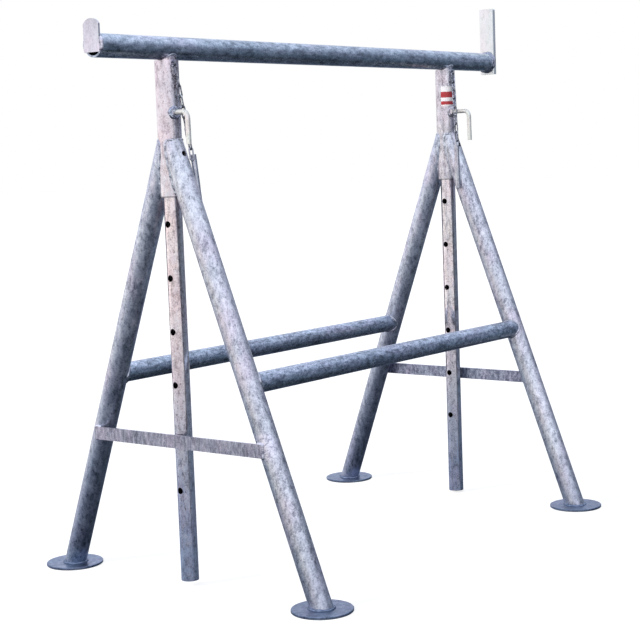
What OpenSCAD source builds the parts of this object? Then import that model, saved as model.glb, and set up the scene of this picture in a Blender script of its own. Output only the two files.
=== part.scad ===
// Adjustable builders trestle in galvanised steel tube.
// Two telescopic posts stand on splayed legs and carry a crossbar for scaffold boards.
// Millimetres, +Z up. The origin lies on the floor, midway between the two posts.
// The crossbar runs along X, the left post stands at -X and the front legs at -Y.

/* [Overall] */
// Distance between the axes of the two posts
post_spacing = 925; // [700:5:1300]
// Height of the crossbar's underside at the lowest setting
bar_underside = 986; // [960:1:1200]
// Distance from the line of the posts to the middle of each foot
foot_spread = 317; // [260:1:400]
// Distance from the top of a sleeve down to the point where the axes of its legs meet
leg_drop = 139.7; // [110:0.1:180]

/* [Crossbar] */
// Outer diameter of the crossbar
bar_d = 42.4; // [38:0.1:50]
// Wall of the crossbar
bar_wall = 3.2; // [2:0.1:5]
// Overhang of the crossbar past the axis of each post
bar_overhang = 182.5; // [100:0.5:300]

/* [End stops] */
// Width of both end stops
stop_w = 38; // [30:0.5:50]
// Thickness of the low stop on the left end
low_stop_t = 4; // [3:0.5:8]
// Rise of the low stop above the top of the crossbar
low_stop_rise = 25; // [20:0.5:60]
// Height of the round crown on the low stop
low_stop_crown = 9.5; // [5:0.5:15]
// Part of the tube's open end that the low stop leaves uncovered
low_stop_uncovered = 9; // [6:0.5:18]
// Thickness of the tall stop on the right end
tall_stop_t = 14; // [10:0.5:18]
// Rise of the tall stop above the top of the crossbar
tall_stop_rise = 104; // [60:1:150]
// Reach of the tall stop below the underside of the crossbar
tall_stop_drop = 7; // [3:0.5:15]
// Corner radius at the top of the tall stop
tall_stop_corner = 4; // [2:0.5:10]
// Radius of the rounded upright edges of the tall stop
tall_stop_edge = 4; // [1:0.5:4.5]

/* [Inner posts] */
// Outer diameter of the inner posts
inner_d = 33.7; // [30:0.1:35]
// Wall of the inner posts
inner_wall = 3.2; // [2:0.1:5]
// Height of the left post's lower end above the floor
left_floor_gap = 12; // [5:1:60]
// Height of the right post's lower end above the floor
right_floor_gap = 5; // [5:1:60]
// Diameter of the pin holes
pin_hole_d = 12.5; // [12:0.1:15]
// Distance from one pin hole to the next
pin_hole_pitch = 100; // [60:1:105]
// Distance from the crossbar's underside to the first pin hole
pin_hole_first = 100; // [60:1:120]
// Number of pin holes in each post
pin_hole_count = 8; // [4:1:8]

/* [Sleeves] */
// Outer diameter of the sleeves
sleeve_d = 44.5; // [44:0.1:50]
// Wall of the sleeves
sleeve_wall = 4; // [2.5:0.1:4.5]
// Length of the sleeves
sleeve_length = 250; // [220:1:300]

/* [Legs and feet] */
// Outer diameter of the legs
leg_d = 42.4; // [38:0.1:43]
// Wall of the legs
leg_wall = 3.2; // [2:0.1:5]
// Distance from the apex down to the level at which the tops of the legs are trimmed
leg_trim = 6; // [3:0.5:7]
// Diameter of the vent hole near the top of each leg
vent_d = 10.5; // [6:0.5:14]
// Distance of the vent hole from the apex, along the leg
vent_drop = 41; // [36:1:80]
// Diameter of the foot plates
foot_d = 113; // [80:1:150]
// Thickness of the foot plates
foot_t = 5; // [4:0.5:10]
// Broken edge round the foot plates
foot_edge = 0.8; // [0.3:0.1:1.5]

/* [Rails and stays] */
// Outer diameter of the front and rear rails
rail_d = 38; // [30:0.1:41]
// Wall of the rails
rail_wall = 2.6; // [2:0.1:5]
// Height of the rails above the floor
rail_height = 396; // [300:1:550]
// Width of the flat stays
stay_w = 25; // [20:0.5:40]
// Thickness of the flat stays
stay_t = 5; // [3:0.5:8]
// Height of the stays above the floor
stay_height = 281; // [150:1:340]

/* [Clamp screws] */
// Distance from the top of a sleeve down to its clamp screw
clamp_drop = 95.7; // [92:0.1:100]
// Diameter of the clamp screws' rod
clamp_rod_d = 9.5; // [8:0.5:12]
// Distance from the post's axis to the handle of a tight screw
clamp_reach = 66; // [62:1:90]
// How far the right screw is backed off
clamp_backoff = 13; // [0:1:18]
// Distance from the left screw's axis to the end of its handle
left_handle = 59; // [40:1:70]
// Distance from the right screw's axis to the end of its handle
right_handle = 66; // [40:1:70]
// Radius of the bend between screw and handle
clamp_bend_r = 14; // [10:0.5:16]
// Size across flats of the welded nuts
nut_af = 17; // [15:0.5:18]
// Thickness of the welded nuts
nut_t = 8; // [6:0.5:10]

/* [Chains and pins] */
// Wire of the chain links
link_wire = 3; // [2.5:0.1:3.2]
// Overall length of a chain link
link_length = 25.8; // [24:0.1:27]
// Overall width of a chain link
link_w = 10.5; // [10.2:0.1:11]
// Distance from the top of the sleeve to the staple that holds the chain
staple_inset = 2; // [0.5:0.5:5]
// Diameter of the locking pins
pin_d = 11; // [9:0.1:11.5]
// Length of the locking pins
pin_length = 98; // [80:1:105]
// Chamfer on the lower end of the locking pins
pin_chamfer = 1.5; // [0.5:0.1:3]
// How far a pin's upper end stands above the lower end of the link welded to its side
pin_lap = 12; // [8:0.5:16]

/* [Hidden] */
$fn = 48;

// Signs of the two sides along X and of the front and rear along Y
left = -1;
right = 1;
front = -1;
rear = 1;

// Clearances
rest_gap = 0.3;    // crossbar above the rim of the sleeves
weld_gap = 0.2;    // root gap where tubes and flats are welded
thread_gap = 0.2;  // clamp rod inside its nut
tip_gap = 0.3;     // tip of a tight clamp screw to the inner post
link_slack = 0.35; // between the wires of linked chain links
weld_bite = 0.4;   // depth to which a weld joins two round rods
thread_step = 0.1; // threaded shank of a clamp screw below the rod's surface
shank_lap = 0.5;   // length of the threaded shank inside the bend
overrun = 2;       // cuts reach this far past the surface

half_turn = 180;   // degrees

// Places along the posts
post_x = post_spacing / 2;
bar_length = post_spacing + 2 * bar_overhang;
bar_axis = bar_underside + bar_d / 2;
bar_top = bar_underside + bar_d;
sleeve_top = bar_underside - rest_gap;
sleeve_bottom = sleeve_top - sleeve_length;
leg_apex = sleeve_top - leg_drop;
clamp_height = sleeve_top - clamp_drop;

// Lean of the legs, and their distance from the posts at a given height
leg_tilt = atan(foot_spread / leg_apex);
leg_axis_length = norm([foot_spread, leg_apex]);
function leg_y(height) = foot_spread * (leg_apex - height) / leg_apex;

// Fittings on a sleeve: direction of clamp screw and chain, anticlockwise from +X
fitting_turn = -106;
handle_flare = 1;  // degrees that the handle leans outward
clamp_tip = inner_d / 2 + tip_gap;

// Chain: a staple is welded to the sleeve, and the first link hangs on its lower limb
chain_links = 8;
chain_upper_links = 4;
chain_middle_links = 2;
link_bend_r = (link_w - link_wire) / 2;
link_crown = link_length / 2 - link_wire / 2;
link_step = link_length - 2 * link_wire - link_slack;
chain_r = sleeve_d / 2 + link_w / 2 + weld_gap;
staple_high = sleeve_top - staple_inset - link_wire / 2;
staple_low = staple_high - 2 * link_bend_r;
chain_pivot = [chain_r, 0, staple_low];

// A chain and its pin hang freely beside the leg, which pushes them outward if it stands further out
leg_clear = 10.1; // farthest that the leg's axis stands out beside a free pin's upper end
leg_flare = 36.8; // farthest that it moves out along a free pin
chain_fall = chain_links * link_step;
chain_foot = staple_low - chain_fall;
leg_push = max(0, atan((leg_y(chain_foot) - leg_clear) / chain_fall));
pin_push = max(0, atan((leg_y(chain_foot - pin_length) - leg_y(chain_foot) - leg_flare) / pin_length));

// Sideways and outward lean, in degrees, of the upper, middle and lower links and of the pin.
// The left chain leans on one side of its nut and the right chain on the other side of its screw.
left_hang = [[10.2, 0], [10, 0], [9, 1], [3.4, 4.5]];
right_hang = [[-7.8, 12], [-2, 5], [5, -2], [0, 1]];
outward_push = [leg_push, leg_push, leg_push, leg_push + pin_push];
function pushed(hang) = [for (k = [0 : len(hang) - 1]) hang[k] + [0, outward_push[k]]];
left_leans = pushed(left_hang);
right_leans = pushed(right_hang);

// A pin is welded to one side of its link, in a direction round the link's straight part
pin_side = 60;
pin_offset = pin_d / 2 + link_wire / 2 - weld_bite;
left_pin_turn = 0;
right_pin_turn = half_turn;

function link_lean(leans, k) =
    leans[k < chain_upper_links ? 0 : k < chain_upper_links + chain_middle_links ? 1 : 2];
function lean_direction(lean) =
    [cos(lean[0]) * sin(lean[1]), sin(lean[0]), -cos(lean[0]) * cos(lean[1])];
// Middle of the wire at the lower end of link k; the staple's lower limb comes before the first
function link_end(leans, k) =
    k < 0 ? chain_pivot
          : link_end(leans, k - 1) + link_step * lean_direction(link_lean(leans, k));

// Colours
zinc = [0.70, 0.72, 0.76];
zinc_dark = [0.52, 0.56, 0.63];
zinc_light = [0.80, 0.80, 0.83];
passivated = [0.80, 0.81, 0.74];

// A round tube that stands on the XY plane
module tube(d, wall, length) {
    difference() {
        cylinder(d = d, h = length);
        translate([0, 0, -overrun]) cylinder(d = d - 2 * wall, h = length + 2 * overrun);
    }
}

// Places its children in the frame of a leg: at the apex, with -Z down the leg
module on_leg(side, face) {
    translate([side * post_x, 0, leg_apex]) rotate([face * leg_tilt, 0, 0]) children();
}

// Places its children in the frame of a sleeve's fittings: +X points away from the post
module on_fittings(side) {
    translate([side * post_x, 0, 0]) rotate([0, 0, fitting_turn]) children();
}

// Places its children where a chain link or a pin hangs
module on_chain(place, lean) {
    translate(place) rotate([lean[0], -lean[1], 0]) children();
}

// Space taken up by a leg, for what is notched to fit it
module leg_space(side, face) {
    on_leg(side, face)
        translate([0, 0, -leg_axis_length]) cylinder(d = leg_d + 2 * weld_gap, h = leg_axis_length);
}

// Space taken up by a sleeve, for what is notched to fit it
module sleeve_space(side) {
    translate([side * post_x, 0, 0]) cylinder(d = sleeve_d + 2 * weld_gap, h = bar_top);
}

// Open tube across the top, closed by a stop at each end
module crossbar() {
    color(zinc_dark)
        translate([-bar_length / 2, 0, bar_axis]) rotate([0, 90, 0]) tube(bar_d, bar_wall, bar_length);
}

// Low flat stop with a round crown, set above the tube's lower edge
module left_end_stop() {
    low = bar_underside + low_stop_uncovered;
    high = bar_top + low_stop_rise;
    crown_r = (pow(stop_w / 2, 2) + pow(low_stop_crown, 2)) / (2 * low_stop_crown);
    color(zinc_light)
        translate([-bar_length / 2 - low_stop_t, 0, 0]) rotate([90, 0, 90])
            linear_extrude(low_stop_t)
                intersection() {
                    translate([-stop_w / 2, low]) square([stop_w, high - low]);
                    union() {
                        translate([0, high - crown_r]) circle(r = crown_r, $fn = 96);
                        translate([-stop_w, low]) square([2 * stop_w, high - crown_r - low]);
                    }
                }
}

// Tall thick stop with rounded upper corners and upright edges
module right_end_stop() {
    low = bar_underside - tall_stop_drop;
    high = bar_top + tall_stop_rise;
    inner_w = stop_w - 2 * tall_stop_corner;
    flat_w = stop_w - 2 * tall_stop_edge;
    flat_t = tall_stop_t - 2 * tall_stop_edge;
    color(zinc_light)
        translate([bar_length / 2, 0, 0])
            intersection() {
                translate([-overrun, 0, 0]) rotate([90, 0, 90])
                    linear_extrude(tall_stop_t + 2 * overrun)
                        union() {
                            translate([-stop_w, low]) square([2 * stop_w, high - tall_stop_corner - low]);
                            translate([-inner_w / 2, low]) square([inner_w, high - low]);
                            for (s = [left, right])
                                translate([s * inner_w / 2, high - tall_stop_corner])
                                    circle(r = tall_stop_corner);
                        }
                translate([0, 0, low - overrun])
                    linear_extrude(high - low + 2 * overrun)
                        union() {
                            translate([0, -flat_w / 2]) square([tall_stop_t, flat_w]);
                            translate([tall_stop_edge, -stop_w / 2]) square([flat_t, stop_w]);
                            for (s = [left, right], u = [tall_stop_edge, tall_stop_t - tall_stop_edge])
                                translate([u, s * flat_w / 2]) circle(r = tall_stop_edge);
                        }
            }
}

// Sliding post, notched under the crossbar and drilled through for the locking pin
module inner_post(side, floor_gap) {
    color(zinc_light)
        difference() {
            translate([side * post_x, 0, floor_gap]) tube(inner_d, inner_wall, bar_axis - floor_gap);
            translate([-bar_length / 2, 0, bar_axis]) rotate([0, 90, 0])
                cylinder(d = bar_d + 2 * weld_gap, h = bar_length);
            for (k = [0 : pin_hole_count - 1])
                translate([side * post_x, 0, bar_underside - pin_hole_first - k * pin_hole_pitch])
                    rotate([0, 90, 0])
                        cylinder(d = pin_hole_d, h = inner_d + 2 * overrun, center = true);
        }
}

// Fixed outer post, cut square at both ends and drilled for the clamp screw
module sleeve(side) {
    color(zinc)
        difference() {
            translate([side * post_x, 0, sleeve_bottom]) tube(sleeve_d, sleeve_wall, sleeve_length);
            on_fittings(side) translate([0, 0, clamp_height]) rotate([0, 90, 0])
                cylinder(d = clamp_rod_d + 2 * thread_gap, h = sleeve_d / 2 + overrun);
        }
}

// Splayed leg, notched to the sleeve, trimmed level at its top and cut level on the foot plate
module leg(side, face) {
    length = leg_axis_length + leg_d;
    color(zinc)
        difference() {
            on_leg(side, face) translate([0, 0, -length]) tube(leg_d, leg_wall, length);
            sleeve_space(side);
            translate([side * post_x - foot_d, -foot_d, leg_apex - leg_trim])
                cube([2 * foot_d, 2 * foot_d, foot_d]);
            translate([side * post_x - foot_d, face * foot_spread - foot_d, foot_t - foot_d])
                cube([2 * foot_d, 2 * foot_d, foot_d]);
            on_leg(side, face) translate([0, 0, -vent_drop]) rotate([-face * 90, 0, 0])
                cylinder(d = vent_d, h = leg_d / 2 + overrun);
        }
}

// Round foot plate with broken edges
module foot(side, face) {
    r = foot_d / 2;
    color(zinc)
        translate([side * post_x, face * foot_spread, 0])
            rotate_extrude()
                polygon([[0, 0], [r - foot_edge, 0], [r, foot_edge], [r, foot_t - foot_edge],
                         [r - foot_edge, foot_t], [0, foot_t]]);
}

// Rail between the two legs of one face, notched to both
module rail(face) {
    color(zinc_dark)
        difference() {
            translate([-post_x, face * leg_y(rail_height), rail_height]) rotate([0, 90, 0])
                tube(rail_d, rail_wall, post_spacing);
            for (side = [left, right]) leg_space(side, face);
        }
}

// Flat stay across the outer sides of one pair of legs
module stay(side) {
    inner_face = post_x + leg_d / 2 + weld_gap;
    reach = leg_y(stay_height);
    color(zinc)
        translate([side * (inner_face + stay_t / 2), 0, stay_height])
            cube([stay_t, 2 * reach, stay_w], center = true);
}

// Hexagon nut welded to the sleeve
module clamp_nut(side) {
    face = sleeve_d / 2 + nut_t;
    color(passivated)
        difference() {
            on_fittings(side) translate([0, 0, clamp_height]) rotate([0, 90, 0])
                difference() {
                    cylinder(d = nut_af / cos(30), h = face, $fn = 6);
                    translate([0, 0, -overrun])
                        cylinder(d = clamp_rod_d + 2 * thread_gap, h = face + 2 * overrun);
                }
            sleeve_space(side);
        }
}

// Bent rod that screws through the nut and bears on the inner post
module clamp_screw(side, backoff, handle) {
    bend_x = clamp_reach - clamp_bend_r;
    bend_fall = clamp_bend_r * (1 - sin(handle_flare));
    handle_length = (handle - bend_fall) / cos(handle_flare);
    color(passivated)
        on_fittings(side) translate([backoff, 0, clamp_height]) {
            translate([clamp_tip, 0, 0]) rotate([0, 90, 0])
                cylinder(d = clamp_rod_d - 2 * thread_step, h = bend_x - clamp_tip + shank_lap);
            translate([bend_x, 0, -clamp_bend_r]) rotate([90, 0, 0]) rotate([0, 0, handle_flare]) {
                rotate_extrude(angle = 90 - handle_flare)
                    translate([clamp_bend_r, 0]) circle(d = clamp_rod_d);
                translate([clamp_bend_r, 0, 0]) rotate([90, 0, 0])
                    cylinder(d = clamp_rod_d, h = handle_length);
            }
        }
}

// Half ring of chain wire in the XZ plane, from +X over +Z to -X
module half_ring() {
    rotate([90, 0, 0]) rotate_extrude(angle = 180) translate([link_bend_r, 0]) circle(d = link_wire);
}

// One chain link, upright in the XZ plane and centred on the origin
module link() {
    straight = link_length - link_w;
    for (end = [0, half_turn])
        rotate([0, end, 0]) {
            translate([0, 0, straight / 2]) half_ring();
            translate([link_bend_r, 0, -straight / 2]) cylinder(d = link_wire, h = straight);
        }
}

// Bent wire welded to the sleeve above the nut, from which the chain hangs
module chain_staple(side) {
    color(zinc_light)
        difference() {
            on_fittings(side) {
                translate([chain_r, 0, (staple_low + staple_high) / 2]) rotate([0, 90, 0]) half_ring();
                for (height = [staple_low, staple_high])
                    translate([0, 0, height]) rotate([0, 90, 0]) cylinder(d = link_wire, h = chain_r);
            }
            sleeve_space(side);
        }
}

// Links that hang from the staple, turned a quarter from one to the next
module chain(side, leans) {
    color(zinc_light)
        on_fittings(side)
            for (k = [0 : chain_links - 1])
                on_chain(link_end(leans, k), link_lean(leans, k))
                    translate([0, 0, link_crown]) rotate([0, 0, k % 2 == 0 ? 90 : 0]) link();
}

// Locking pin with the last link of the chain welded to the side of its upper end
module locking_pin(side, leans, turn) {
    link_low = -link_step - link_wire / 2;
    tip = link_low + pin_lap - pin_length;
    color(zinc_light)
        on_fittings(side)
            on_chain(link_end(leans, chain_links - 1), leans[3]) rotate([0, 0, turn])
                union() {
                    translate([0, 0, link_crown - link_step]) rotate([0, 0, 90]) link();
                    translate([-pin_offset * sin(pin_side), link_bend_r + pin_offset * cos(pin_side), tip]) {
                        cylinder(d1 = pin_d - 2 * pin_chamfer, d2 = pin_d, h = pin_chamfer);
                        translate([0, 0, pin_chamfer]) cylinder(d = pin_d, h = pin_length - pin_chamfer);
                    }
                }
}

crossbar();
left_end_stop();
right_end_stop();
inner_post(left, left_floor_gap);  // left_inner_post
inner_post(right, right_floor_gap);  // right_inner_post
sleeve(left);  // left_sleeve
sleeve(right);  // right_sleeve
leg(left, front);  // front_left_leg
leg(left, rear);  // rear_left_leg
leg(right, front);  // front_right_leg
leg(right, rear);  // rear_right_leg
foot(left, front);  // front_left_foot
foot(left, rear);  // rear_left_foot
foot(right, front);  // front_right_foot
foot(right, rear);  // rear_right_foot
rail(front);  // front_rail
rail(rear);  // rear_rail
stay(left);  // left_stay
stay(right);  // right_stay
clamp_nut(left);  // left_clamp_nut
clamp_nut(right);  // right_clamp_nut
clamp_screw(left, 0, left_handle);  // left_clamp_screw
clamp_screw(right, clamp_backoff, right_handle);  // right_clamp_screw
chain_staple(left);  // left_chain_staple
chain_staple(right);  // right_chain_staple
chain(left, left_leans);  // left_chain
chain(right, right_leans);  // right_chain
locking_pin(left, left_leans, left_pin_turn);  // left_locking_pin
locking_pin(right, right_leans, right_pin_turn);  // right_locking_pin
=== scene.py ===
import math

import bpy
from mathutils import Matrix, Vector


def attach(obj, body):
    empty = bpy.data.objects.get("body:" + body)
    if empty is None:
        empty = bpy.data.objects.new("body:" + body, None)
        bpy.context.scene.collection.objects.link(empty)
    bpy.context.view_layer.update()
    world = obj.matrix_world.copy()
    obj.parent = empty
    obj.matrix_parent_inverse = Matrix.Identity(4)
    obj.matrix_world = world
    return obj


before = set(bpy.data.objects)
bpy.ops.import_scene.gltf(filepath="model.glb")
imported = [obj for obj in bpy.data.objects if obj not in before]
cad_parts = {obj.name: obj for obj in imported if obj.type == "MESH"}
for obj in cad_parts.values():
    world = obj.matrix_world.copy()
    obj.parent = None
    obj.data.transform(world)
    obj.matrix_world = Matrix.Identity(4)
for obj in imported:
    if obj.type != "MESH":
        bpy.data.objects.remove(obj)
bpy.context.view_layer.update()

# Sizes of the steel, in metres: the posts stand at -X and +X, and the front legs at -Y
MM = 0.001
POST_X = 462.5 * MM
POST_R = 16.85 * MM
BAR_R = 21.2 * MM
BAR_AXIS = 1007.2 * MM
BAR_HALF = 645 * MM
SLEEVE_R = 22.25 * MM
SLEEVE_BOTTOM = 735.7 * MM
LEG_R = 21.2 * MM
LEG_APEX = 846 * MM
LEG_TRIM = 6 * MM
FOOT_SPREAD = 317 * MM
FOOT_TOP = 5 * MM
LEG_TILT = math.atan(FOOT_SPREAD / LEG_APEX)
RAIL_R = 19 * MM
RAIL_HEIGHT = 396 * MM
STAY_HEIGHT = 281 * MM
STAY_HALF_W = 12.5 * MM
CLAMP_HEIGHT = 890 * MM
STAPLE_HEIGHTS = {"upper": 982.2 * MM, "lower": 974.7 * MM}
FITTING_TURN = math.radians(-106)
SIDES = {"left": -1, "right": 1}
FACES = {"front": -1, "rear": 1}
UP = Vector((0, 0, 1))


def leg_y(height):
    """Distance of a leg's axis from the line of the posts, at a height."""
    return FOOT_SPREAD * (LEG_APEX - height) / LEG_APEX


# Camera at the photograph's place
CAMERA_PLACE = Vector((-2.5589, -1.9823, 0.8059))
CAMERA_AZIMUTH = math.radians(-51.85)
CAMERA_ELEVATION = math.radians(6.13)
CAMERA_ROLL = math.radians(-2.10)
CAMERA_LENS = 87.18
CAMERA_SENSOR = 36


def make_camera():
    """Stands the camera where the photograph was taken from."""
    level = math.cos(CAMERA_ELEVATION)
    back = Vector((math.sin(CAMERA_AZIMUTH) * level, -math.cos(CAMERA_AZIMUTH) * level,
                   math.sin(CAMERA_ELEVATION)))
    right = UP.cross(back).normalized()
    up = back.cross(right)
    c, s = math.cos(CAMERA_ROLL), math.sin(CAMERA_ROLL)
    right, up = c * right + s * up, c * up - s * right
    bpy.ops.object.camera_add()
    camera = bpy.context.object
    camera.name = "photo_camera"
    camera.data.lens = CAMERA_LENS
    camera.data.sensor_width = CAMERA_SENSOR
    turn = Matrix((right, up, back)).transposed().to_4x4()
    camera.matrix_world = Matrix.Translation(CAMERA_PLACE) @ turn
    bpy.context.scene.camera = camera


# Steps that the materials are made of
MIX_FIRST = 6
MIX_SECOND = 7
MIX_RESULT = 2


def add_node(tree, kind, **settings):
    """Adds one shader node and sets its properties."""
    node = tree.nodes.new(kind)
    for key, value in settings.items():
        setattr(node, key, value)
    return node


def new_material(name):
    """A new material with a node tree."""
    material = bpy.data.materials.new(name)
    material.use_nodes = True
    return material


def open_material(material):
    """A material's node tree, its shader and the outputs of a new coordinates node."""
    tree = material.node_tree
    return tree, tree.nodes["Principled BSDF"], add_node(tree, "ShaderNodeTexCoord").outputs


def noise_of(tree, place, size, detail, rough=0.55):
    """Noise whose grain is about the given size in metres."""
    noise = add_node(tree, "ShaderNodeTexNoise")
    noise.inputs["Scale"].default_value = 1 / size
    noise.inputs["Detail"].default_value = detail
    noise.inputs["Roughness"].default_value = rough
    tree.links.new(place, noise.inputs["Vector"])
    return noise.outputs["Fac"]


def sum_of(tree, *parts):
    """Weighted sum of grey values, from pairs of a value and its weight."""
    total = None
    for value, weight in parts:
        step = add_node(tree, "ShaderNodeMath", operation="MULTIPLY_ADD")
        tree.links.new(value, step.inputs[0])
        step.inputs[1].default_value = weight
        step.inputs[2].default_value = 0
        if total is not None:
            tree.links.new(total, step.inputs[2])
        total = step.outputs[0]
    return total


def range_of(tree, value, low, high, start=0, end=1, soft=False):
    """Turns a value that runs from low to high into one that runs from start to end, and stops there."""
    step = add_node(tree, "ShaderNodeMapRange", interpolation_type="SMOOTHSTEP" if soft else "LINEAR")
    step.inputs["From Min"].default_value = low
    step.inputs["From Max"].default_value = high
    step.inputs["To Min"].default_value = start
    step.inputs["To Max"].default_value = end
    tree.links.new(value, step.inputs["Value"])
    return step.outputs["Result"]


def vector_of(tree, operation, place, other=None, result="Vector"):
    """One step of arithmetic on a place."""
    step = add_node(tree, "ShaderNodeVectorMath", operation=operation)
    tree.links.new(place, step.inputs[0])
    if other is not None:
        step.inputs[1].default_value = other
    return step.outputs[result]


def part_along(tree, place, toward):
    """How far a place lies along a direction."""
    return vector_of(tree, "DOT_PRODUCT", place, toward, "Value")


def ramp_of(tree, value, stops):
    """Colour ramp over a grey value."""
    ramp = add_node(tree, "ShaderNodeValToRGB")
    while len(ramp.color_ramp.elements) < len(stops):
        ramp.color_ramp.elements.new(0.5)
    for element, (at, colour) in zip(ramp.color_ramp.elements, stops):
        element.position = at
        element.color = (*colour, 1)
    tree.links.new(value, ramp.inputs["Fac"])
    return ramp.outputs["Color"]


def product_of(tree, first, second):
    """Two colours multiplied."""
    blend = add_node(tree, "ShaderNodeMix", data_type="RGBA", blend_type="MULTIPLY")
    blend.inputs["Factor"].default_value = 1
    tree.links.new(first, blend.inputs[MIX_FIRST])
    tree.links.new(second, blend.inputs[MIX_SECOND])
    return blend.outputs[MIX_RESULT]


def mix_of(tree, share, first, second):
    """The first colour where the share is 0, the second where it is 1."""
    blend = add_node(tree, "ShaderNodeMix", data_type="RGBA")
    tree.links.new(share, blend.inputs["Factor"])
    tree.links.new(first, blend.inputs[MIX_FIRST])
    tree.links.new(second, blend.inputs[MIX_SECOND])
    return blend.outputs[MIX_RESULT]


def shade_colour(tree, shader, shade):
    """Multiplies a shader's colour by another."""
    colour = shader.inputs["Base Color"].links[0].from_socket
    tree.links.new(product_of(tree, colour, shade), shader.inputs["Base Color"])


def grey(value):
    """A grey as a colour."""
    return (value, value, value)


# Zinc finishes
GRAIN_SIZE = 3 * MM
SPECK_SIZE = 6 * MM
BUMP_DEPTH = 2 * MM
WIDE_PATCH = 5
HUE_PATCH = 1.4
TONE_MIDDLE = 0.75
GLOSS_MIDDLE = 0.17
ROSY_TINT = (1.045, 0.975, 1)
COOL_TINT = (0.975, 1.005, 1)


def zinc_coat(name, deep, mid, pale, metal=0.97, rough=0.34, patch=0.030, fleck=0.009, run=(1, 1, 0.5),
              span=0.17, specks=0.45, lumps=0.2):
    """Hot dipped zinc: patches, flecks, crystal spangle, dark specks and a slightly lumpy skin."""
    material = new_material(name)
    tree, shader, coords = open_material(material)
    mapping = add_node(tree, "ShaderNodeMapping")
    mapping.inputs["Scale"].default_value = run
    tree.links.new(coords["Object"], mapping.inputs["Vector"])
    place = mapping.outputs["Vector"]

    patches = noise_of(tree, place, patch, detail=4, rough=0.6)
    wide = noise_of(tree, place, patch * WIDE_PATCH, detail=2)
    flecks = noise_of(tree, place, fleck, detail=4, rough=0.65)
    grain = noise_of(tree, coords["Object"], GRAIN_SIZE, detail=2)
    crystal = add_node(tree, "ShaderNodeTexVoronoi")
    crystal.inputs["Scale"].default_value = 1 / fleck
    crystal.inputs["Randomness"].default_value = 1
    tree.links.new(place, crystal.inputs["Vector"])
    facet = add_node(tree, "ShaderNodeSeparateColor")
    tree.links.new(crystal.outputs["Color"], facet.inputs["Color"])

    tone = sum_of(tree, (patches, 0.24), (wide, 0.16), (flecks, 0.62), (facet.outputs["Red"], 0.08),
                  (grain, 0.40))
    colour = ramp_of(tree, tone,
                     [(TONE_MIDDLE - span, deep), (TONE_MIDDLE, mid), (TONE_MIDDLE + span, pale)])
    dirt = ramp_of(tree, noise_of(tree, place, SPECK_SIZE, detail=3, rough=0.7),
                   [(0.61, grey(1)), (0.68, grey(1 - specks))])
    hue = ramp_of(tree, noise_of(tree, place, patch * HUE_PATCH, detail=2),
                  [(0.34, ROSY_TINT), (0.5, grey(1)), (0.66, COOL_TINT)])
    stained = product_of(tree, colour, dirt)
    tree.links.new(product_of(tree, stained, hue), shader.inputs["Base Color"])

    gloss = sum_of(tree, (facet.outputs["Green"], 0.14), (patches, 0.2))
    level = add_node(tree, "ShaderNodeMath", operation="ADD")
    level.inputs[1].default_value = rough - GLOSS_MIDDLE
    tree.links.new(gloss, level.inputs[0])
    tree.links.new(level.outputs[0], shader.inputs["Roughness"])
    shader.inputs["Metallic"].default_value = metal

    height = sum_of(tree, (patches, 0.5), (flecks, 0.35), (grain, 0.15))
    bump = add_node(tree, "ShaderNodeBump")
    bump.inputs["Strength"].default_value = lumps
    bump.inputs["Distance"].default_value = BUMP_DEPTH
    tree.links.new(height, bump.inputs["Height"])
    tree.links.new(bump.outputs["Normal"], shader.inputs["Normal"])
    return material


# Darker and paler places on the zinc: painted shade inside the posts' bores and along the sleeves' lower
# rims, a pale crust of weld splash round the stays, and dark cut ends on the screws
BORE_EDGE = POST_R - 0.5 * MM
BORE_BLUR = 0.3 * MM
BORE_SHADE = 0.04
# Painted shade: a dark band just above each sleeve's lower rim, a painted reflection of the dark ground
RIM_DARK = SLEEVE_BOTTOM + 1.2 * MM
RIM_UNSHADED = SLEEVE_BOTTOM + 2.6 * MM
CRUST_CENTRE = (POST_X + LEG_R, leg_y(STAY_HEIGHT), STAY_HEIGHT + 6 * MM)
CRUST_R = 34 * MM
CRUST_SHARE = 0.85
CRUST_COLOURS = [(0.34, (0.24, 0.24, 0.31)), (0.45, (0.70, 0.68, 0.75)), (0.56, (1, 0.97, 1))]
DOWN_DARK = -0.997
DOWN_CLEAN = -0.990
CUT_SHADE = 0.05


def paint_bore_shade(material):
    """Paints shade inside the two posts: their bores are dark, out to just under their skin."""
    tree, shader, coords = open_material(material)
    folded = vector_of(tree, "ABSOLUTE", coords["Object"])
    off = vector_of(tree, "SUBTRACT", folded, (POST_X, 0, 0))
    flat = vector_of(tree, "MULTIPLY", off, (1, 1, 0))
    reach = vector_of(tree, "LENGTH", flat, result="Value")
    shade_colour(tree, shader, range_of(tree, reach, BORE_EDGE - BORE_BLUR, BORE_EDGE, start=BORE_SHADE))


def shade_by_height(material, shaded, unshaded, shade):
    """Shades a piece by height: fully at the first height, not at all at the second."""
    tree, shader, coords = open_material(material)
    level = range_of(tree, part_along(tree, coords["Object"], UP), shaded, unshaded)
    shade_colour(tree, shader, ramp_of(tree, level, [(0, shade), (1, grey(1))]))


def splash_crust(material):
    """Lays a pale, lumpy crust of weld splash on the legs, round each end of the stays."""
    tree, shader, coords = open_material(material)
    folded = vector_of(tree, "ABSOLUTE", coords["Object"])
    away = vector_of(tree, "DISTANCE", folded, CRUST_CENTRE, "Value")
    share = range_of(tree, away, CRUST_R, CRUST_R / 2, end=CRUST_SHARE, soft=True)
    crust = ramp_of(tree, noise_of(tree, coords["Object"], SPECK_SIZE, detail=3, rough=0.7), CRUST_COLOURS)
    colour = shader.inputs["Base Color"].links[0].from_socket
    tree.links.new(mix_of(tree, share, colour, crust), shader.inputs["Base Color"])


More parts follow.
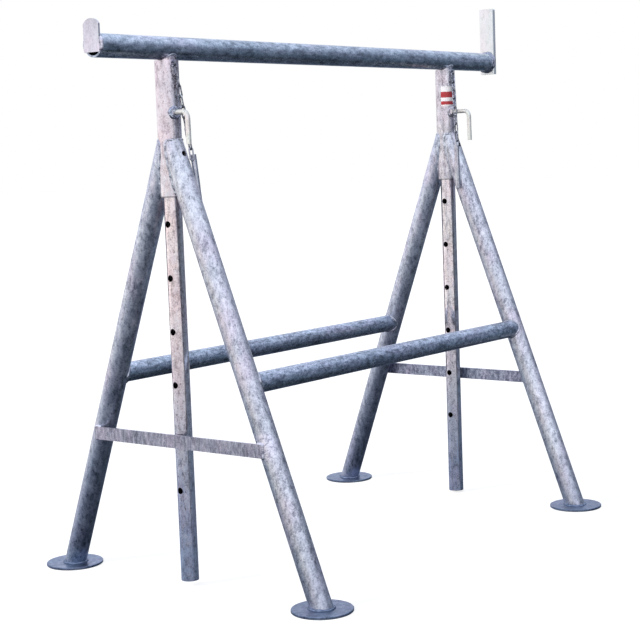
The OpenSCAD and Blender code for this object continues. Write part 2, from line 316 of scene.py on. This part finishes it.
def darken_ends(material):
    """Makes the faces that point straight down, the cut ends of the rods, dark."""
    tree, shader, coords = open_material(material)
    level = range_of(tree, part_along(tree, coords["Normal"], UP), DOWN_DARK, DOWN_CLEAN, start=CUT_SHADE)
    shade_colour(tree, shader, level)


# Finish of each piece, with its deep, middle and pale colour
left_post_zinc = zinc_coat("rosy drawn zinc", (0.53, 0.48, 0.49), (0.90, 0.82, 0.82), (1, 0.96, 0.96),
                           rough=0.18, fleck=0.007, lumps=0.06, specks=0.52, span=0.125)
paint_bore_shade(left_post_zinc)
# Painted shade: the post darkens and turns bluer towards the bottom, a painted reflection of the dark
# ground
shade_by_height(left_post_zinc, 100 * MM, 400 * MM, (0.82, 0.90, 1))
right_post_zinc = zinc_coat("pale drawn zinc", (0.48, 0.46, 0.47), (0.85, 0.81, 0.82), (1, 0.97, 0.98),
                            rough=0.18, fleck=0.007, lumps=0.06, specks=0.45, span=0.13)
paint_bore_shade(right_post_zinc)
# Painted shade: the post darkens and turns bluer towards the bottom, a painted reflection of the dark
# ground
shade_by_height(right_post_zinc, 80 * MM, 420 * MM, (0.60, 0.66, 0.76))
# Painted light: the left sleeve has a lighter, rosier copy of the sleeve zinc and the right sleeve, with
# the right clamp nut, a darker copy, for light that is brighter on the left
lit_left_sleeve_zinc = zinc_coat("rosy sleeve zinc", (0.52, 0.46, 0.48), (0.88, 0.80, 0.81), (1, 0.96, 0.97),
                             rough=0.26, span=0.145, specks=0.52)
# Painted shade: a dark band along the sleeve's lower rim
shade_by_height(lit_left_sleeve_zinc, RIM_DARK, RIM_UNSHADED, grey(0.3))
shaded_right_sleeve_zinc = zinc_coat("shaded sleeve zinc", (0.34, 0.32, 0.34), (0.73, 0.70, 0.72), (1, 0.97, 0.98),
                              rough=0.28, span=0.15, specks=0.55)
# Painted shade: a dark band along the sleeve's lower rim
shade_by_height(shaded_right_sleeve_zinc, RIM_DARK, RIM_UNSHADED, grey(0.3))
front_leg_zinc = zinc_coat("mottled leg zinc", (0.27, 0.28, 0.32), (0.71, 0.715, 0.74), (1, 1, 1),
                           fleck=0.007)
shade_by_height(front_leg_zinc, 20 * MM, 170 * MM, (0.75, 0.78, 0.83))
splash_crust(front_leg_zinc)
rear_leg_zinc = zinc_coat("dulled leg zinc", (0.27, 0.29, 0.34), (0.66, 0.69, 0.75), (0.97, 0.98, 1),
                          rough=0.38, fleck=0.007)
shade_by_height(rear_leg_zinc, 30 * MM, 550 * MM, (0.50, 0.56, 0.66))
bar_zinc = zinc_coat("slate bar zinc", (0.21, 0.25, 0.29), (0.46, 0.53, 0.60), (0.80, 0.88, 0.94),
                     rough=0.31, run=(0.5, 1, 1), span=0.15, specks=0.25)
rail_zinc = zinc_coat("slate rail zinc", (0.18, 0.21, 0.25), (0.44, 0.51, 0.60), (0.82, 0.90, 0.99),
                      rough=0.31, run=(0.5, 1, 1), fleck=0.006, span=0.13, specks=0.3)
stop_zinc = zinc_coat("bright stop zinc", (0.79, 0.81, 0.75), (0.95, 0.98, 0.90), (0.99, 1, 0.95),
                      lumps=0.10, specks=0.12)
lip_zinc = zinc_coat("pale lip zinc", (0.72, 0.69, 0.72), (0.90, 0.875, 0.89), (1, 0.98, 1),
                     lumps=0.10, specks=0.15)
shade_by_height(lip_zinc, 1055 * MM, 1000 * MM, grey(0.78))
stay_zinc = zinc_coat("dull stay zinc", (0.27, 0.27, 0.32), (0.54, 0.535, 0.60), (0.84, 0.82, 0.87),
                      run=(1, 1, 0.3), fleck=0.005, lumps=0.12, span=0.14)
slate_stay_zinc = zinc_coat("slate stay zinc", (0.16, 0.175, 0.23), (0.36, 0.38, 0.48), (0.74, 0.77, 0.87),
                            fleck=0.006, lumps=0.12, span=0.13)
plate_zinc = zinc_coat("flat plate zinc", (0.13, 0.165, 0.235), (0.20, 0.25, 0.345), (0.33, 0.40, 0.51),
                       run=(1, 1, 1), lumps=0.12)
weld_zinc = zinc_coat("weld bead zinc", (0.28, 0.30, 0.34), (0.62, 0.64, 0.68), (0.95, 0.96, 0.98),
                      patch=0.010, fleck=0.005, run=(1, 1, 1), lumps=0.25)
dull_weld = zinc_coat("dull weld zinc", (0.20, 0.22, 0.27), (0.38, 0.41, 0.48), (0.62, 0.66, 0.74),
                      patch=0.010, fleck=0.005, run=(1, 1, 1), lumps=0.25)
bright_weld = zinc_coat("bright weld zinc", (0.62, 0.62, 0.66), (0.90, 0.90, 0.93), (1, 1, 1),
                        patch=0.010, fleck=0.005, run=(1, 1, 1), lumps=0.25, specks=0.25)
nut_zinc = zinc_coat("grey nut zinc", (0.30, 0.33, 0.39), (0.58, 0.62, 0.70), (0.90, 0.93, 0.98),
                     rough=0.28, patch=0.012, fleck=0.006, run=(1, 1, 1))
chain_zinc = zinc_coat("dark chain zinc", (0.10, 0.105, 0.12), (0.34, 0.35, 0.38), (0.95, 0.95, 0.97),
                       rough=0.22, patch=0.012, fleck=0.004, run=(1, 1, 1), span=0.13)
pin_zinc = zinc_coat("grey pin zinc", (0.33, 0.34, 0.37), (0.56, 0.58, 0.61), (0.82, 0.83, 0.86),
                     rough=0.26, patch=0.02, fleck=0.006)
screw_plating = zinc_coat("straw plated steel", (0.62, 0.62, 0.54), (0.80, 0.80, 0.72), (0.93, 0.93, 0.86),
                          metal=0.6, rough=0.36, patch=0.018, fleck=0.005, run=(1, 1, 1), lumps=0.06,
                          specks=0.2)
darken_ends(screw_plating)

NODE_FINISH = {
    "crossbar": bar_zinc, "left_end_stop": lip_zinc, "right_end_stop": stop_zinc,
    "left_inner_post": left_post_zinc, "right_inner_post": right_post_zinc,
    "left_sleeve": lit_left_sleeve_zinc, "right_sleeve": shaded_right_sleeve_zinc,
    "front_rail": rail_zinc, "rear_rail": rail_zinc,
    "left_stay": stay_zinc, "right_stay": slate_stay_zinc,
    "left_clamp_nut": nut_zinc, "right_clamp_nut": shaded_right_sleeve_zinc,
}
for side_name in SIDES:
    NODE_FINISH.update({
        f"front_{side_name}_leg": front_leg_zinc, f"rear_{side_name}_leg": rear_leg_zinc,
        f"front_{side_name}_foot": plate_zinc, f"rear_{side_name}_foot": plate_zinc,
        f"{side_name}_clamp_screw": screw_plating, f"{side_name}_chain_staple": chain_zinc,
        f"{side_name}_chain": chain_zinc, f"{side_name}_locking_pin": pin_zinc,
    })
for node_name, finish in NODE_FINISH.items():
    for material_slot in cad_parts[node_name].material_slots:
        material_slot.material = finish


# Steps that the new pieces are made of
MERGE_GAP = 0.02 * MM


def add_alone(add, **settings):
    """Adds a primitive with nothing else selected, and gives its object."""
    bpy.ops.object.select_all(action="DESELECT")
    add(**settings)
    return bpy.context.object


def apply_modifier(piece, kind, **settings):
    """Adds a modifier, sets it and applies it."""
    modifier = piece.modifiers.new(kind.lower(), kind)
    for key, value in settings.items():
        setattr(modifier, key, value)
    bpy.ops.object.modifier_apply(modifier=modifier.name)


def close_skin():
    """Merges the double points of the piece in hand and turns its faces outwards."""
    bpy.ops.object.mode_set(mode="EDIT")
    bpy.ops.mesh.select_all(action="SELECT")
    bpy.ops.mesh.remove_doubles(threshold=MERGE_GAP)
    bpy.ops.mesh.normals_make_consistent(inside=False)
    bpy.ops.object.mode_set(mode="OBJECT")


def name_piece(piece, name):
    """Names a piece and its mesh alike."""
    piece.name = name
    piece.data.name = name


# Weld beads, whose waves have a height, a turn from point to point and a start
RIPPLE_STEP = 1.1 * MM
RIPPLE_WAVES = ((0.10, 2.4, 0), (0.10, 0.37, 1), (0.07, 0.113, 0))
LEAST_STEPS = 8
END_WIDTH = 0.35
END_GROWTH = 0.18
LUMP_SIZE = 6 * MM
LUMP_SHARE = 0.55
weld_lumps = bpy.data.textures.new("weld lumps", "CLOUDS")
weld_lumps.noise_scale = LUMP_SIZE


def even_steps(line, closed):
    """The line's points spread again at an even step."""
    ring = list(line) + ([line[0]] if closed else [])
    spans = [(b - a).length for a, b in zip(ring, ring[1:])]
    total = sum(spans)
    count = max(LEAST_STEPS, round(total / RIPPLE_STEP))
    spread, span, run = [], 0, 0.0
    for k in range(count if closed else count + 1):
        goal = total * k / count
        while span < len(spans) - 1 and run + spans[span] < goal:
            run += spans[span]
            span += 1
        share = min(1, (goal - run) / spans[span])
        spread.append(ring[span].lerp(ring[span + 1], share))
    return spread


def open_ring(ring, last):
    """Deletes the edge between a ring's last point and its first."""
    bpy.ops.object.mode_set(mode="EDIT")
    bpy.ops.mesh.select_all(action="DESELECT")
    bpy.ops.object.mode_set(mode="OBJECT")
    for edge in ring.data.edges:
        edge.select = set(edge.vertices) == {0, last}
    bpy.ops.object.mode_set(mode="EDIT")
    bpy.ops.mesh.select_mode(type="EDGE")
    bpy.ops.mesh.delete(type="EDGE_FACE")
    bpy.ops.object.mode_set(mode="OBJECT")


def weld_bead(name, seam, thickness, body, closed=True, swell=None, finish=weld_zinc):
    """A rippled weld bead laid along a seam."""
    seam = even_steps(seam, closed)
    last = len(seam) - 1
    bead = add_alone(bpy.ops.mesh.primitive_circle_add, vertices=len(seam), radius=thickness)
    for vertex, place in zip(bead.data.vertices, seam):
        vertex.co = place
    if not closed:
        open_ring(bead, last)
    bpy.ops.object.convert(target="CURVE")
    bead = bpy.context.object
    bead.data.bevel_depth = thickness
    bead.data.bevel_resolution = 2
    bead.data.use_fill_caps = True
    for k, point in enumerate(bead.data.splines[0].points):
        ripple = 1 + sum(height * math.sin(turn * k + start) for height, turn, start in RIPPLE_WAVES)
        if not closed:
            ripple *= min(1, END_WIDTH + END_GROWTH * min(k, last - k))
        if swell:
            ripple *= swell(point.co)
        point.radius = ripple
    bpy.ops.object.convert(target="MESH")
    bead = bpy.context.object
    apply_modifier(bead, "DISPLACE", texture=weld_lumps, texture_coords="LOCAL",
                   strength=thickness * LUMP_SHARE, mid_level=0.5)
    close_skin()
    bpy.ops.object.shade_smooth()
    name_piece(bead, name)
    bead.data.materials.append(finish)
    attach(bead, body)


# Seams that the welds follow
LEG_SEAM_POINTS = 160
LEG_SEAM_INSET = 0.9 * MM
LEG_SEAM_CLEAR = 2 * MM
PIPE_SEAM_POINTS = 96
STAY_SEAM_OUT = 0.6 * MM
STAY_SEAM_BACK = 9 * MM
POST_SEAM_RISE = 1.2 * MM
POST_SWELL = 0.75
POST_SWELL_GAIN = 0.9
NUT_SEAM_R = 9.6 * MM
NUT_SEAM_POINTS = 64
STAPLE_SEAM_R = 2.2 * MM
STAPLE_SEAM_OUT = 0.2 * MM
STAPLE_SEAM_POINTS = 32
STOP_SEAM_STEPS = 90


def ring_of(count, place):
    """Points of a seam, from a function of the angle round it."""
    return [Vector(place(2 * math.pi * k / count)) for k in range(count)]


def leg_cope(side, face):
    """Seam where a leg meets its sleeve, above the sleeve's lower rim and along the leg's level top."""
    inset = 1 - LEG_SEAM_INSET / SLEEVE_R

    def place(turn):
        x = LEG_R * math.cos(turn)
        y = math.sqrt(SLEEVE_R ** 2 - x ** 2)
        along = (y - LEG_R * math.sin(turn) * math.cos(LEG_TILT)) / math.sin(LEG_TILT)
        z = LEG_APEX - along * math.cos(LEG_TILT) + LEG_R * math.sin(turn) * math.sin(LEG_TILT)
        return (side * POST_X + inset * x, face * inset * y, min(z, LEG_APEX - LEG_TRIM))

    turns = [2 * math.pi * k / LEG_SEAM_POINTS - math.pi / 2 for k in range(LEG_SEAM_POINTS + 1)]
    points = [Vector(place(turn)) for turn in turns]
    return [point for point in points if point.z > SLEEVE_BOTTOM + LEG_SEAM_CLEAR]


def rail_cope(side, face):
    """Seam where a rail meets a leg."""
    def place(turn):
        dy, dz = RAIL_R * math.cos(turn), RAIL_R * math.sin(turn)
        across = dy * math.cos(LEG_TILT) * face + dz * math.sin(LEG_TILT)
        x = POST_X - math.sqrt(LEG_R ** 2 - across ** 2)
        return (side * x, face * leg_y(RAIL_HEIGHT) + dy, RAIL_HEIGHT + dz)

    return ring_of(PIPE_SEAM_POINTS, place)


def foot_seam(side, face):
    """Seam where a leg stands on its foot plate."""
    def place(turn):
        return (side * POST_X + LEG_R * math.cos(turn),
                face * leg_y(FOOT_TOP) + LEG_R / math.cos(LEG_TILT) * math.sin(turn), FOOT_TOP)

    return ring_of(PIPE_SEAM_POINTS, place)


def stay_seam(side, face):
    """Seam round the end of a stay, where it lies against a leg."""
    x = side * (POST_X + LEG_R + STAY_SEAM_OUT)
    reach = leg_y(STAY_HEIGHT)
    low, high = STAY_HEIGHT - STAY_HALF_W, STAY_HEIGHT + STAY_HALF_W
    lean = math.tan(LEG_TILT) * STAY_HALF_W
    return [Vector((x, face * (reach + lean - STAY_SEAM_BACK), low)), Vector((x, face * reach, low)),
            Vector((x, face * reach, high)), Vector((x, face * (reach - lean - STAY_SEAM_BACK), high))]


def post_cope(side):
    """Seam where an inner post meets the crossbar's underside."""
    def place(turn):
        x, y = POST_R * math.cos(turn), POST_R * math.sin(turn)
        return (side * POST_X + x, y, BAR_AXIS - math.sqrt(BAR_R ** 2 - y ** 2) + POST_SEAM_RISE)

    return ring_of(PIPE_SEAM_POINTS, place)


def post_swell(place):
    """The bead on a post is fuller on the bar's sides than under it."""
    return POST_SWELL + POST_SWELL_GAIN * abs(place.y) / POST_R


def fitting_seam(side, height, radius, lift, count):
    """Seam round a clamp nut or one limb of a staple, on the sleeve."""
    c, s = math.cos(FITTING_TURN), math.sin(FITTING_TURN)

    def place(turn):
        across, up = radius * math.cos(turn), radius * math.sin(turn)
        out = math.sqrt(SLEEVE_R ** 2 - across ** 2) + lift
        return (side * POST_X + out * c - across * s, out * s + across * c, height + up)

    return ring_of(count, place)


def stop_seam(x, radius, start, end):
    """An arc round the crossbar's end, from one angle to another in degrees from +Y over +Z."""
    steps = range(STOP_SEAM_STEPS + 1)
    turns = [math.radians(start + (end - start) * k / STOP_SEAM_STEPS) for k in steps]
    return [Vector((x, radius * math.cos(turn), BAR_AXIS + radius * math.sin(turn))) for turn in turns]


# Thickness of the beads, and the welds of the frame and the posts
BEAD = {"leg": 3.0 * MM, "rail": 2.6 * MM, "foot": 3.2 * MM, "stay": 2.9 * MM, "post": 1.7 * MM,
        "nut": 3.2 * MM, "staple": 1.3 * MM, "right_stop": 3.6 * MM, "second_round": 2.8 * MM,
        "left_stop": 3.0 * MM}
for side_name, side in SIDES.items():
    for face_name, face in FACES.items():
        corner = f"{face_name}_{side_name}"
        weld_bead(f"{corner}_leg_weld", leg_cope(side, face), BEAD["leg"], "frame", closed=False,
                  finish=NODE_FINISH[f"{corner}_leg"])
        weld_bead(f"{corner}_rail_weld", rail_cope(side, face), BEAD["rail"], "frame")
        weld_bead(f"{corner}_foot_weld", foot_seam(side, face), BEAD["foot"], "frame", finish=plate_zinc)
        weld_bead(f"{corner}_stay_weld", stay_seam(side, face), BEAD["stay"], "frame", closed=False,
                  finish=bright_weld)
    weld_bead(f"{side_name}_post_weld", post_cope(side), BEAD["post"], "head", swell=post_swell)
    nut_seam = fitting_seam(side, CLAMP_HEIGHT, NUT_SEAM_R, 0, NUT_SEAM_POINTS)
    weld_bead(f"{side_name}_nut_weld", nut_seam, BEAD["nut"], "frame",
              finish=NODE_FINISH[f"{side_name}_clamp_nut"])
    for level_name, height in STAPLE_HEIGHTS.items():
        staple_seam = fitting_seam(side, height, STAPLE_SEAM_R, STAPLE_SEAM_OUT, STAPLE_SEAM_POINTS)
        weld_bead(f"{side_name}_{level_name}_staple_weld", staple_seam, BEAD["staple"], "frame",
                  finish=dull_weld)


# Welds of the end stops: two full rounds on the right, and one short run on each side on the left
FULL_ROUND = (0, 356)
FRONT_RUN = (118, 210)
REAR_RUN = (-30, 62)
RIGHT_STOP_X = BAR_HALF - 1.5 * MM
RIGHT_STOP_R = BAR_R + 0.5 * MM
SECOND_ROUND_X = BAR_HALF - 6.5 * MM
SECOND_ROUND_R = BAR_R - 0.6 * MM
LEFT_STOP_X = -BAR_HALF + 0.8 * MM
LEFT_STOP_R = BAR_R + 0.2 * MM
weld_bead("right_stop_weld", stop_seam(RIGHT_STOP_X, RIGHT_STOP_R, *FULL_ROUND), BEAD["right_stop"],
          "head", finish=dull_weld)
weld_bead("right_stop_second_weld", stop_seam(SECOND_ROUND_X, SECOND_ROUND_R, *FULL_ROUND),
          BEAD["second_round"], "head", finish=dull_weld)
weld_bead("left_stop_front_weld", stop_seam(LEFT_STOP_X, LEFT_STOP_R, *FRONT_RUN), BEAD["left_stop"],
          "head", closed=False, finish=bright_weld)
weld_bead("left_stop_rear_weld", stop_seam(LEFT_STOP_X, LEFT_STOP_R, *REAR_RUN), BEAD["left_stop"],
          "head", closed=False)


# Plain sticker on the right sleeve
STICKER_LOW = 904 * MM
STICKER_HIGH = 948 * MM
STICKER_START = math.radians(5)
STICKER_END = math.radians(92)
STICKER_R = SLEEVE_R + 0.1 * MM
STICKER_THICK = 0.2 * MM
STICKER_WEAR = 4 * MM
STICKER_WANDER = 1 * MM
STICKER_CREASE = math.radians(40)
VINYL_WHITE = (0.84, 0.83, 0.84)
VINYL_RED = (0.40, 0.035, 0.04)


def make_sticker():
    """A thin plain patch, wrapped on the right sleeve."""
    patch = add_alone(bpy.ops.mesh.primitive_grid_add, x_subdivisions=24, y_subdivisions=16, size=2)
    for vertex in patch.data.vertices:
        turn = STICKER_START + (STICKER_END - STICKER_START) * (vertex.co.x + 1) / 2
        height = STICKER_LOW + (STICKER_HIGH - STICKER_LOW) * (vertex.co.y + 1) / 2
        vertex.co = (POST_X - STICKER_R * math.cos(turn), -STICKER_R * math.sin(turn), height)
    apply_modifier(patch, "SOLIDIFY", thickness=STICKER_THICK, offset=1)
    close_skin()
    bpy.ops.object.shade_smooth_by_angle(angle=STICKER_CREASE)
    name_piece(patch, "plain_sticker")
    return patch


def sticker_vinyl():
    """White vinyl with two plain red bands that have worn edges."""
    material = new_material("white vinyl with red bands")
    tree, shader, coords = open_material(material)
    wear = noise_of(tree, coords["Object"], STICKER_WEAR, detail=4)
    wander = sum_of(tree, (part_along(tree, coords["Object"], UP), 1), (wear, STICKER_WANDER))
    bands = ramp_of(tree, range_of(tree, wander, STICKER_LOW, STICKER_HIGH),
                    [(0.05, VINYL_WHITE), (0.08, VINYL_RED), (0.23, VINYL_RED), (0.26, VINYL_WHITE),
                     (0.42, VINYL_WHITE), (0.45, VINYL_RED), (0.72, VINYL_RED), (0.75, VINYL_WHITE)])
    tree.links.new(bands, shader.inputs["Base Color"])
    shader.inputs["Roughness"].default_value = 0.45
    return material


sticker = make_sticker()
sticker.data.materials.append(sticker_vinyl())
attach(sticker, "frame")


# Floor, backdrop and light
FLOOR_SIZE = 60
FLOOR_DROP = 0.5 * MM
FLOOR_GREY = (0.42, 0.42, 0.42, 1)
FLOOR_GLOW = 0.76
FLOOR_BOUNCE = (0.22, 0.22, 0.23, 1)
WHITE = (1, 1, 1, 1)
SKY_LIGHT = [(0.45, (0.04, 0.045, 0.055)), (0.55, (0.14, 0.16, 0.20)), (1, (0.52, 0.57, 0.66))]
LAMP_DISTANCE = 4


def bare_material(piece, name):
    """A new material without a shader, put on a piece."""
    material = new_material(name)
    material.node_tree.nodes.remove(material.node_tree.nodes["Principled BSDF"])
    piece.data.materials.append(material)
    return material.node_tree


def seen_directly(tree):
    """1 where the camera, a reflection or a view through glass meets the surface."""
    rays = add_node(tree, "ShaderNodeLightPath")
    total = rays.outputs["Is Camera Ray"]
    for name in ("Is Glossy Ray", "Is Transmission Ray"):
        either = add_node(tree, "ShaderNodeMath", operation="MAXIMUM")
        tree.links.new(total, either.inputs[0])
        tree.links.new(rays.outputs[name], either.inputs[1])
        total = either.outputs[0]
    return total


def make_floor():
    """Pale floor that keeps the trestle's shadow."""
    floor = add_alone(bpy.ops.mesh.primitive_plane_add, size=FLOOR_SIZE, location=(0, 0, -FLOOR_DROP))
    floor.name = "pale_floor"
    tree = bare_material(floor, "pale floor")
    shade = add_node(tree, "ShaderNodeBsdfDiffuse")
    shade.inputs["Color"].default_value = FLOOR_GREY
    glow = add_node(tree, "ShaderNodeEmission")
    glow.inputs["Strength"].default_value = FLOOR_GLOW
    lifted = add_node(tree, "ShaderNodeAddShader")
    tree.links.new(shade.outputs[0], lifted.inputs[0])
    tree.links.new(glow.outputs[0], lifted.inputs[1])
    bounce = add_node(tree, "ShaderNodeBsdfDiffuse")
    bounce.inputs["Color"].default_value = FLOOR_BOUNCE
    mix = add_node(tree, "ShaderNodeMixShader")
    tree.links.new(seen_directly(tree), mix.inputs["Fac"])
    tree.links.new(bounce.outputs[0], mix.inputs[1])
    tree.links.new(lifted.outputs[0], mix.inputs[2])
    tree.links.new(mix.outputs[0], tree.nodes["Material Output"].inputs["Surface"])
    floor.visible_glossy = False


def make_world():
    """White surroundings, with a soft cool sky light from above."""
    world = bpy.data.worlds.new("studio")
    bpy.context.scene.world = world
    world.use_nodes = True
    tree = world.node_tree
    coords = add_node(tree, "ShaderNodeTexCoord")
    height = range_of(tree, part_along(tree, coords.outputs["Generated"], UP), -1, 1)
    mix = add_node(tree, "ShaderNodeMix", data_type="RGBA")
    tree.links.new(seen_directly(tree), mix.inputs["Factor"])
    tree.links.new(ramp_of(tree, height, SKY_LIGHT), mix.inputs[MIX_FIRST])
    mix.inputs[MIX_SECOND].default_value = WHITE
    tree.links.new(mix.outputs[MIX_RESULT], tree.nodes["Background"].inputs["Color"])


def make_lamp(name, toward, energy, spread, colour):
    """A soft lamp that shines from a direction and isn't mirrored, with its spread in degrees."""
    toward = Vector(toward).normalized()
    bpy.ops.object.light_add(type="SUN", location=toward * LAMP_DISTANCE)
    lamp = bpy.context.object
    lamp.name = name
    lamp.data.energy = energy
    lamp.data.angle = math.radians(spread)
    lamp.data.color = colour
    lamp.rotation_mode = "QUATERNION"
    lamp.rotation_quaternion = toward.to_track_quat("Z", "Y")
    lamp.visible_glossy = False


# Surroundings that only the metal mirrors: light on the left and above, dark on the right and below
DOME_RADIUS = 40.0
DARK_SIDE = Vector((0.866, -0.5, 0))
SKY_FALL = Vector((0.866, -0.5, -0.75)) / 1.2
BLUE_FOR_RED = 0.55
HEDGE_START = -0.03
HEDGE_WIDTH = 3.4
HEDGE_Y = -3.5
HEDGE_HEIGHT = 0.8
HEDGE_LEAVES = 0.3


def tinted(level, cool):
    """A level of light with a share of blue."""
    return (level * (1 - BLUE_FOR_RED * cool), level, level * (1 + cool))


def only_mirrored(piece, name, tree, colour):
    """Makes a piece glow with a colour and be seen in reflections alone."""
    piece.name = name
    shade = add_node(tree, "ShaderNodeEmission")
    tree.links.new(colour, shade.inputs["Color"])
    tree.links.new(shade.outputs[0], tree.nodes["Material Output"].inputs["Surface"])
    piece.visible_camera = False
    piece.visible_diffuse = False
    piece.visible_transmission = False
    piece.visible_shadow = False


def make_dome():
    """The mirrored dome: a sky that falls off to the right, a dim horizon band and a dark yard below."""
    dome = add_alone(bpy.ops.mesh.primitive_uv_sphere_add, segments=64, ring_count=32, radius=DOME_RADIUS)
    bpy.ops.object.shade_smooth()
    tree = bare_material(dome, "mirrored dome")
    coords = add_node(tree, "ShaderNodeTexCoord")
    place = vector_of(tree, "MULTIPLY", coords.outputs["Object"], grey(1 / DOME_RADIUS))
    height = part_along(tree, place, UP)
    depth = part_along(tree, place, -UP)
    side = part_along(tree, place, DARK_SIDE)

    sky = ramp_of(tree, part_along(tree, place, SKY_FALL),
                  [(0.04, tinted(0.95, 0)), (0.167, tinted(0.86, 0)), (0.26, tinted(0.77, 0.02)),
                   (0.333, tinted(0.68, 0.03)), (0.417, tinted(0.59, 0.05)), (0.49, tinted(0.49, 0.08)),
                   (0.567, tinted(0.37, 0.12)), (0.683, tinted(0.22, 0.17)), (0.788, tinted(0.12, 0.22)),
                   (0.85, tinted(0.08, 0.26))])
    tints = ramp_of(tree, height, [(0, (1.05, 1, 1.00)), (0.17, (0.98, 1, 1.18)), (0.34, (0.94, 1, 1.21)),
                                   (0.6, (0.92, 1, 1.24))])
    horizon = ramp_of(tree, range_of(tree, side, -1, 1),
                      [(0.25, tinted(0.88, 0)), (0.45, tinted(0.80, 0.02)), (0.55, tinted(0.70, 0.11)),
                       (0.63, tinted(0.58, 0.20)), (0.71, tinted(0.48, 0.27)), (0.78, tinted(0.35, 0.31)),
                       (0.85, tinted(0.21, 0.34)), (0.925, tinted(0.12, 0.36)), (0.96, tinted(0.20, 0.34)),
                       (1, tinted(0.40, 0.28))])
    upper = mix_of(tree, range_of(tree, height, 0.02, 0.20, soft=True), horizon, sky)
    upper = product_of(tree, upper, tints)

    light_yard = ramp_of(tree, depth, [(0, (0.97, 0.91, 0.91)), (0.07, (0.95, 0.89, 0.90)),
                                       (0.105, (0.86, 0.83, 0.85)), (0.14, (0.65, 0.66, 0.72)),
                                       (0.16, (0.48, 0.52, 0.61)), (0.185, (0.35, 0.41, 0.53)),
                                       (0.225, (0.27, 0.33, 0.46)), (0.28, (0.205, 0.255, 0.36)),
                                       (0.34, (0.14, 0.175, 0.25)), (0.47, (0.072, 0.098, 0.15)),
                                       (0.62, (0.036, 0.051, 0.08)), (0.77, (0.022, 0.032, 0.051))])
    behind = ramp_of(tree, part_along(tree, place, (0, 1, 0)),
                     [(0.3, grey(0.90)), (0.6, grey(0.94)), (0.95, grey(1.22))])
    light_yard = product_of(tree, light_yard, behind)
    dark_yard = ramp_of(tree, depth, [(0, (0.10, 0.125, 0.18)), (0.17, (0.135, 0.175, 0.25)),
                                      (0.3, (0.11, 0.14, 0.20)), (0.5, (0.042, 0.055, 0.077)),
                                      (0.8, (0.034, 0.042, 0.056))])
    lower = mix_of(tree, range_of(tree, side, 0.45, 0.75, soft=True), light_yard, dark_yard)
    only_mirrored(dome, "mirrored_dome", tree,
                  mix_of(tree, range_of(tree, height, -0.03, 0.02, soft=True), lower, upper))


def make_hedge():
    """A low dark hedge in front on the right, which gives the posts their sharp dark edge."""
    hedge = add_alone(bpy.ops.mesh.primitive_plane_add, size=1)
    for vertex in hedge.data.vertices:
        vertex.co = (HEDGE_START + HEDGE_WIDTH * (vertex.co.x + 0.5), HEDGE_Y,
                     HEDGE_HEIGHT * (vertex.co.y + 0.5))
    tree = bare_material(hedge, "mirrored hedge")
    coords = add_node(tree, "ShaderNodeTexCoord")
    leaves = ramp_of(tree, noise_of(tree, coords.outputs["Object"], HEDGE_LEAVES, detail=3),
                     [(0.3, tinted(0.12, 0.32)), (0.7, tinted(0.17, 0.32))])
    only_mirrored(hedge, "mirrored_hedge", tree, leaves)


# The whole scene: the key lamp is warm and a little behind on the left, the fill is wide and in front
make_camera()
make_floor()
make_world()
make_lamp("key_lamp", (-0.80, 0.42, 0.44), energy=2.9, spread=16, colour=(1, 0.95, 0.94))
make_lamp("fill_lamp", (-0.72, -0.62, 0.35), energy=1.6, spread=60, colour=(1, 1, 1))
make_dome()
make_hedge()
bpy.context.scene.view_settings.view_transform = "Standard"
